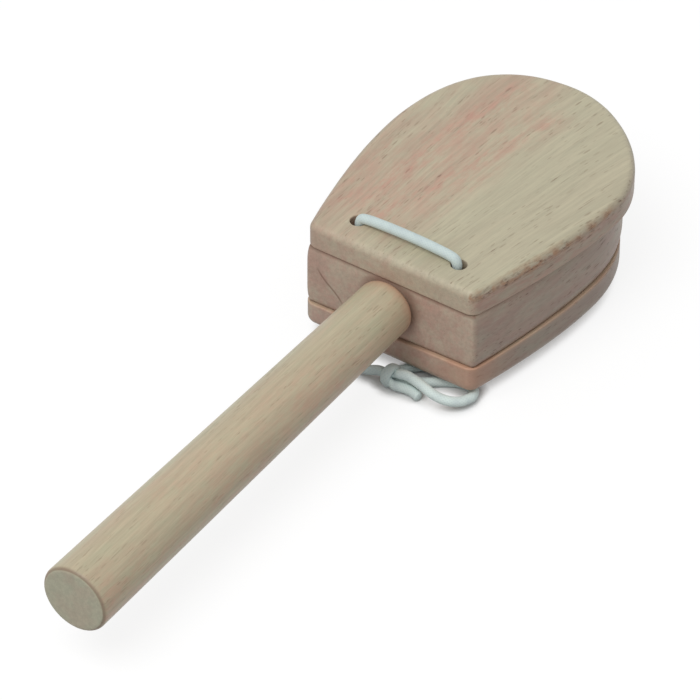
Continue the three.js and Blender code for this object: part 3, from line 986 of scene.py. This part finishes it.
# Torn places along the top clapper's right upper edge, as (x, length)
tornPlaces = [
    (-0.4, 2.4), (2.4, 2.0), (5.3, 3.0), (9.2, 2.4), (12.6, 4.0), (16.6, 3.2), (20, 4.6), (24.6, 2.4),
    (28.4, 4.0), (33, 2.4), (37.5, 3.0), (43.5, 3.6), (49, 2.4),
]
torn = {"below": 1.6, "halfHeight": 1.3, "halfShare": 0.55, "facing": -0.2}
tints = {
    "streakFade": 6,
    "seamFalloff": 1.5,
    "pinkAndShade": 0.4,  # of the block and the bottom clapper
    "topBlush": 0.04,
    "leftBlush": 0.2,  # more of it on the top clapper's face, from y = leftFrom on over leftOver
    "leftFrom": -8,
    "leftOver": 20,
    "wallBlush": 0.4,  # and on its walls, with rightBlush more on the right one
    "rightBlush": 0.8,
    "faceFrom": 0.5,  # a normal that points up more than this is on the face
    "wallFrom": 0.6,  # and one that points up less than this counts as wall
    "tanLeast": 0.15,  # the top clapper's tan streaks fade to this from y = tanFrom + tanOver to tanFrom
    "tanFrom": -14,
    "tanOver": 22,
    "endFalloff": 1.5,
    "farGrain": 0.5,  # how strong the end grain is at the round end
    # How much painted shade, with deeper pores, the faces turned to either side get.
    "sideShadeGain": 1.4,
    "sideShadeFrom": 0.4,
    # Where the painted warm highlight on the bottom clapper's front right corner sits, and how far it
    # reaches.
    "cornerAt": -23,
    "cornerReach": 9,
    "front": 1,  # how far back the marks on the front reach
    # Painted shade: a ring round the neck on the block's front, bands at the block's seams, and a patch on
    # the bottom clapper's front under the handle.
    "neckRing": 0.55,
    "neckInset": 0.3,
    "neckReach": 1.5,
    "blockSeam": 0.8,
    "lowerSeam": 0.6,
    "upperSeam": 0.4,
    "upperFront": 0.7,
    "patch": 0.25,
    "patchAt": -6,
    "patchReach": 5,
    "sharpAngle": 28,
}


def softBand(value, centre, reach):
    # 1 at the centre, falling off as a bell curve.
    return np.exp(-((value - centre) / reach) ** 2)


def blushOf(place, streaks):
    # Each streak is a soft band about its own line, faded at both ends.
    x, y, _ = place.T
    total = np.zeros(len(place))
    for streak in streaks:
        alongX, alongY = np.array(streak["along"], float).T
        fade = np.clip((x - alongX[0]) / tints["streakFade"], 0, 1)
        fade *= np.clip((alongX[-1] - x) / tints["streakFade"], 0, 1)
        band = softBand(y, np.interp(x, alongX, alongY), streak["half"])
        total += streak["strength"] * band * fade
    return total


def seamOf(place, spec):
    # Painted warm light: full at a rim that meets a seam, and gone a depth away. A painted warm highlight
    # on the bottom clapper's front right corner is added.
    x, y, z = place.T
    rolled = z + y * np.where(z < spec["middle"], spec["lowRoll"], spec["highRoll"])
    near = np.min([np.abs(rolled - level) for level in spec["seamsAt"]], axis=0)
    corner = softBand(np.hypot(x, y - tints["cornerAt"]), 0, tints["cornerReach"])
    rim = np.clip(1 - near / spec["seamDepth"], 0, 1) ** tints["seamFalloff"]
    return rim * spec["warmLightShare"] + corner * spec["cornerWarmLight"]


def nickOf(place, normal):
    # Torn grain on the -Y side's upper edge: each place is a soft patch at the edge.
    x, _, z = place.T
    along = sum(softBand(x, at, torn["halfShare"] * length) for at, length in tornPlaces)
    onEdge = softBand(z, topHigh - torn["below"], torn["halfHeight"])
    return np.clip(along, 0, 1) * onEdge * (normal[:, 1] < torn["facing"])


def topWarmth(place, normal):
    # A faint blush that grows to the left on the face and over the walls, most of all on the right one.
    _, across, up = normal.T
    left = np.clip((place[:, 1] - tints["leftFrom"]) / tints["leftOver"], 0, 1) * (up > tints["faceFrom"])
    share = tints["wallBlush"] + tints["rightBlush"] * np.clip(-across, 0, 1)
    wall = np.clip(tints["wallFrom"] - up, 0, tints["wallFrom"])
    return tints["topBlush"] + tints["leftBlush"] * left + wall * share


def blockShade(place):
    # Painted shade on the block where it meets the clappers and, on its front, a painted shadow ring where
    # the handle's neck enters it.
    x, y, z = place.T
    onFront = x < tints["front"]
    ring = softBand(np.hypot(y, z - axisZ), handle["neckRadius"] - tints["neckInset"], tints["neckReach"])
    rolled = z + y * seams["roll"]
    lower = np.clip(1 - (rolled - blockLow) / tints["blockSeam"], 0, 1) * (z < middleZ)
    upper = np.clip(1 - (blockHigh - z) / tints["blockSeam"], 0, 1)
    upper *= np.where(onFront, tints["upperFront"], tints["upperSeam"])
    return np.max([tints["neckRing"] * ring * onFront, tints["lowerSeam"] * lower, upper], axis=0)


def bottomShade(place):
    # The shaded reddish patch on the bottom clapper's front, under the handle's right side.
    x, y, _ = place.T
    return tints["patch"] * softBand(y, tints["patchAt"], tints["patchReach"]) * (x < tints["front"])


shades = {"centreBlock": blockShade, "bottomClapper": bottomShade}


def headPieces():
    # What each wooden layer of the head is made from.
    close = seams["closeUp"]
    plain = {
        "lowRoll": 0, "highRoll": 0, "middle": middleZ, "seamDepth": 0.7, "warmLightShare": 0.35, "cornerWarmLight": 0,
    }
    return [
        {
            **plain, "name": "topClapper", "node": "top_clapper", "body": "upper_clapper", "look": woodLook,
            "plan": topPlan, "low": topLow - close, "high": topHigh, "hollow": 1, "seamsAt": [topLow],
            "lowEdge": edges["inner"], "highEdge": edges["topOuter"],
        },
        {
            **plain, "name": "centreBlock", "node": "centre_block", "body": "handle_block",
            "look": blockWood, "plan": blockPlan, "low": blockLow, "high": blockHigh + close, "hollow": 0,
            "lowEdge": edges["blockLow"], "highEdge": edges["blockHigh"], "seamsAt": [blockLow, blockHigh],
            "lowRoll": seams["roll"], "warmLightShare": 0,
        },
        {
            **plain, "name": "bottomClapper", "node": "bottom_clapper", "body": "lower_clapper",
            "look": bottomWood, "plan": bottomPlan, "low": bottomLow, "high": bottomHigh + close,
            "hollow": -1, "lowEdge": edges["bottomOuter"], "highEdge": edges["inner"],
            "seamsAt": [bottomHigh], "highRoll": seams["roll"], "middle": bottomLow, "seamDepth": 1.2,
            "warmLightShare": 0.4, "cornerWarmLight": 0.5,
        },
    ]


def makeHead():
    for seed, spec in enumerate(headPieces()):
        name = spec["name"]
        rings, underMiddle, overMiddle = plateRings(spec, seed)
        mesh = closedRings(name, *(points + [frontX, 0, 0] for points in (rings, underMiddle, overMiddle)))
        piece = addPiece(name, mesh, woodMaterial(name + "Wood", spec["look"]))
        cutters = [holeCutter(holes["fromFront"], side * holes["halfSpacing"], spec["low"], spec["high"])
                   for side in (1, -1)]
        drill(piece, cutters)
        finishWood(piece.data, tints["sharpAngle"])
        place, normal = vertexArrays(piece.data)
        forward, across, up = normal.T
        near, far = np.clip(-forward, 0, 1), np.clip(forward, 0, 1)
        values = {
            "endGrain": near ** tints["endFalloff"] + tints["farGrain"] * far ** 2,
            # Faces turned to either side: painted shade and deeper pores.
            "sawnSideAndShade": np.abs(across) * tints["sideShadeGain"] - tints["sideShadeFrom"],
            # Painted warm light on the rims at the seams.
            "seamWarmLight": seamOf(place, spec),
            # Painted shade from the piece's shade function.
            "darkLineAndShade": shades[name](place) if name in shades else 0,
            "tanShare": 1,
            "pinkAndShade": tints["pinkAndShade"],
        }
        if name == "topClapper":
            drift = (place[:, 1] - tints["tanFrom"]) / tints["tanOver"]
            values["tanShare"] = np.clip(drift, tints["tanLeast"], 1)
            values["pinkAndShade"] = blushOf(place, topBlush) * (up > 0) + topWarmth(place, normal)
            values["nick"] = nickOf(place, normal)
        paintAttributes(piece.data, values)
        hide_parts(spec["node"])
        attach(piece, spec["body"])
        print(name, "made:", len(piece.data.polygons), "faces")


makeHead()


# Handle

handleTints = {
    "sharpAngle": 40,
    "pinkAndShade": 0.05,
    "lowShadeBlush": 0.5,  # more of it underneath and on the right, by these slopes: painted shade
    "downSlope": 0.35,
    "rightSlope": 0.03,
    "slowBlush": 0.25,  # and in two slow waves
    "waves": (9, 3, 23),
    # The neck's warm orange near the block is painted light.
    "neckWarmLight": 0.9,
    "neckReach": 4,
    "rim": 0.6,  # the thin brown line round the free end
    "rimAt": 0.3,
    "rimReach": 0.4,
    "endReach": 2,
    "endFacing": (-0.9, -0.7),  # normals past these have no rim line and no blush
}


def makeHandle():
    # A profile turned about X: the tenon, the neck's rounding, the taper in even steps, the end's rounding
    # and its flat face.
    quarter = np.linspace(0, math.pi / 2, meshSteps["neck"])
    neckR, neckRound = handle["neckRadius"], handle["neckRound"]
    endR, endRound = handle["endRadius"], handle["endRound"]
    start, end = -handle["neckGap"], -handle["length"]
    tenonR, tenonEnd = handle["tenonRadius"], handle["tenonLength"]
    profile = [[axisGap, tenonEnd], [tenonR, tenonEnd], [tenonR, start]]
    profile += [
        [neckR - neckRound * (1 - math.sin(a)), start - neckRound * (1 - math.cos(a))] for a in quarter
    ]
    taper = np.linspace(0, 1, meshSteps["taper"])[1:-1]
    x0, x1 = start - neckRound, end + endRound
    profile += [[neckR + (endR - neckR) * t, x0 + (x1 - x0) * t] for t in taper]
    profile += [[endR - endRound * (1 - math.cos(a)), end + endRound * (1 - math.sin(a))] for a in quarter]
    profile += [[r, end] for r in np.linspace(endR - endRound, axisGap, meshSteps["handleEnd"])[1:]]
    mesh = latheMesh("handlePiece", profile[::-1], meshSteps["turned"], "X")
    mesh.transform(Matrix.Translation((frontX * mm, 0, axisZ * mm)))
    piece = addPiece("handlePiece", mesh, woodMaterial("handleWood", handleWood))
    finishWood(piece.data, handleTints["sharpAngle"])
    place, normal = vertexArrays(piece.data)
    x, y, z = place.T
    fromEnd = x + handle["length"]
    # Pinker underneath and on the right: painted shade.
    low = 0.5 - handleTints["downSlope"] * (z - axisZ) / neckR - handleTints["rightSlope"] * y
    along, across, slower = handleTints["waves"]
    slow = 0.5 + 0.5 * np.cos(x / along + y / across) * np.cos(x / slower + 1)
    pinkAndShade = handleTints["pinkAndShade"] + handleTints["slowBlush"] * slow
    pinkAndShade += handleTints["lowShadeBlush"] * np.clip(low, 0, 1)
    nearNeck = np.clip(1 + (x - start) / handleTints["neckReach"], 0, 1)
    rim = softBand(fromEnd, handleTints["rimAt"], handleTints["rimReach"])
    noRim, noBlush = handleTints["endFacing"]
    paintAttributes(piece.data, {
        "endGrain": np.clip(-normal[:, 0], 0, 1) ** 2 * (fromEnd < handleTints["endReach"]),
        # Painted warm light round the neck where it enters the block.
        "seamWarmLight": handleTints["neckWarmLight"] * nearNeck,
        "darkLineAndShade": handleTints["rim"] * rim * (normal[:, 0] > noRim),
        "tanShare": 1,
        "pinkAndShade": pinkAndShade * (normal[:, 0] > noBlush),
    })
    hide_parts("handle")
    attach(piece, "handle_block")
    print("handle made")


makeHandle()


# Studio

studio = {
    "floorSize": 3.0,
    "seenGlow": 0.8,  # share of the floor's white that no shadow dims
    "glow": 1.04,
    "contact": 0.0035,  # metres round the object within which the floor's own white fades
    "contactRange": (0.55, 0.95),
    "floorBounce": 0.4,  # how much of the light the floor gives back to the object
    "world": 0.55,
    "keyPlace": (-0.65, 0.05, 1.25),
    "keySize": 1.0,
    "keyPower": 9.8,
}


def seenWhite(tree):
    # 1 for what the camera sees straight or in gloss or glass, and 0 for light that falls on the object.
    rays = tree.nodes.new("ShaderNodeLightPath")
    seen = mathNode(tree, "MAXIMUM", rays.outputs["Is Camera Ray"], rays.outputs["Is Glossy Ray"])
    return mathNode(tree, "MAXIMUM", seen, rays.outputs["Is Transmission Ray"])


def makeFloor():
    # White to the eye and grey to the object, so that it keeps the shadow and throws back little light.
    half = studio["floorSize"] / 2
    mesh = bpy.data.meshes.new("studioFloor")
    corners = [(-half, -half, 0), (half, -half, 0), (half, half, 0), (-half, half, 0)]
    mesh.from_pydata(corners, [], [(0, 1, 2, 3)])
    material = bpy.data.materials.new("studioFloor")
    material.use_nodes = True
    tree = material.node_tree
    tree.nodes.clear()
    output = tree.nodes.new("ShaderNodeOutputMaterial")
    diffuse = tree.nodes.new("ShaderNodeBsdfDiffuse")
    seen = seenWhite(tree)
    bounce = studio["floorBounce"]
    tree.links.new(productPlus(tree, seen, 1 - bounce, bounce), diffuse.inputs["Color"])
    glow = addNode(tree, "ShaderNodeEmission", Color=(1, 1, 1, 1), Strength=studio["glow"])
    mix = tree.nodes.new("ShaderNodeMixShader")
    near = addNode(tree, "ShaderNodeAmbientOcclusion", Distance=studio["contact"])
    uncovered = ramp(tree, near.outputs["AO"], *studio["contactRange"])
    glowShare = product(tree, product(tree, seen, uncovered), studio["seenGlow"])
    fill(tree, mix.inputs, glowShare, diffuse.outputs[0], glow.outputs[0])
    tree.links.new(mix.outputs[0], output.inputs["Surface"])
    floor = addPiece("studioFloor", mesh, material)


def makeLight():
    # An even world that the camera sees as white, and one large lamp from above the handle.
    world = bpy.data.worlds.new("studioWorld")
    bpy.context.scene.world = world
    world.use_nodes = True
    tree = world.node_tree
    background = tree.nodes["Background"]
    strength = productPlus(tree, seenWhite(tree), 1 - studio["world"], studio["world"])
    tree.links.new(strength, background.inputs["Strength"])
    background.inputs["Color"].default_value = (1, 1, 1, 1)
    data = bpy.data.lights.new("keyLamp", "AREA")
    data.shape = "DISK"
    data.size = studio["keySize"]
    data.energy = studio["keyPower"]
    lamp = bpy.data.objects.new("keyLamp", data)
    lamp.location = studio["keyPlace"]
    lamp.rotation_euler = (-Vector(studio["keyPlace"])).to_track_quat("-Z", "Y").to_euler()
    bpy.context.scene.collection.objects.link(lamp)


makeFloor()
makeLight()
bpy.context.scene.view_settings.view_transform = "Standard"
print("studio made")

bpy.context.view_layer.update()
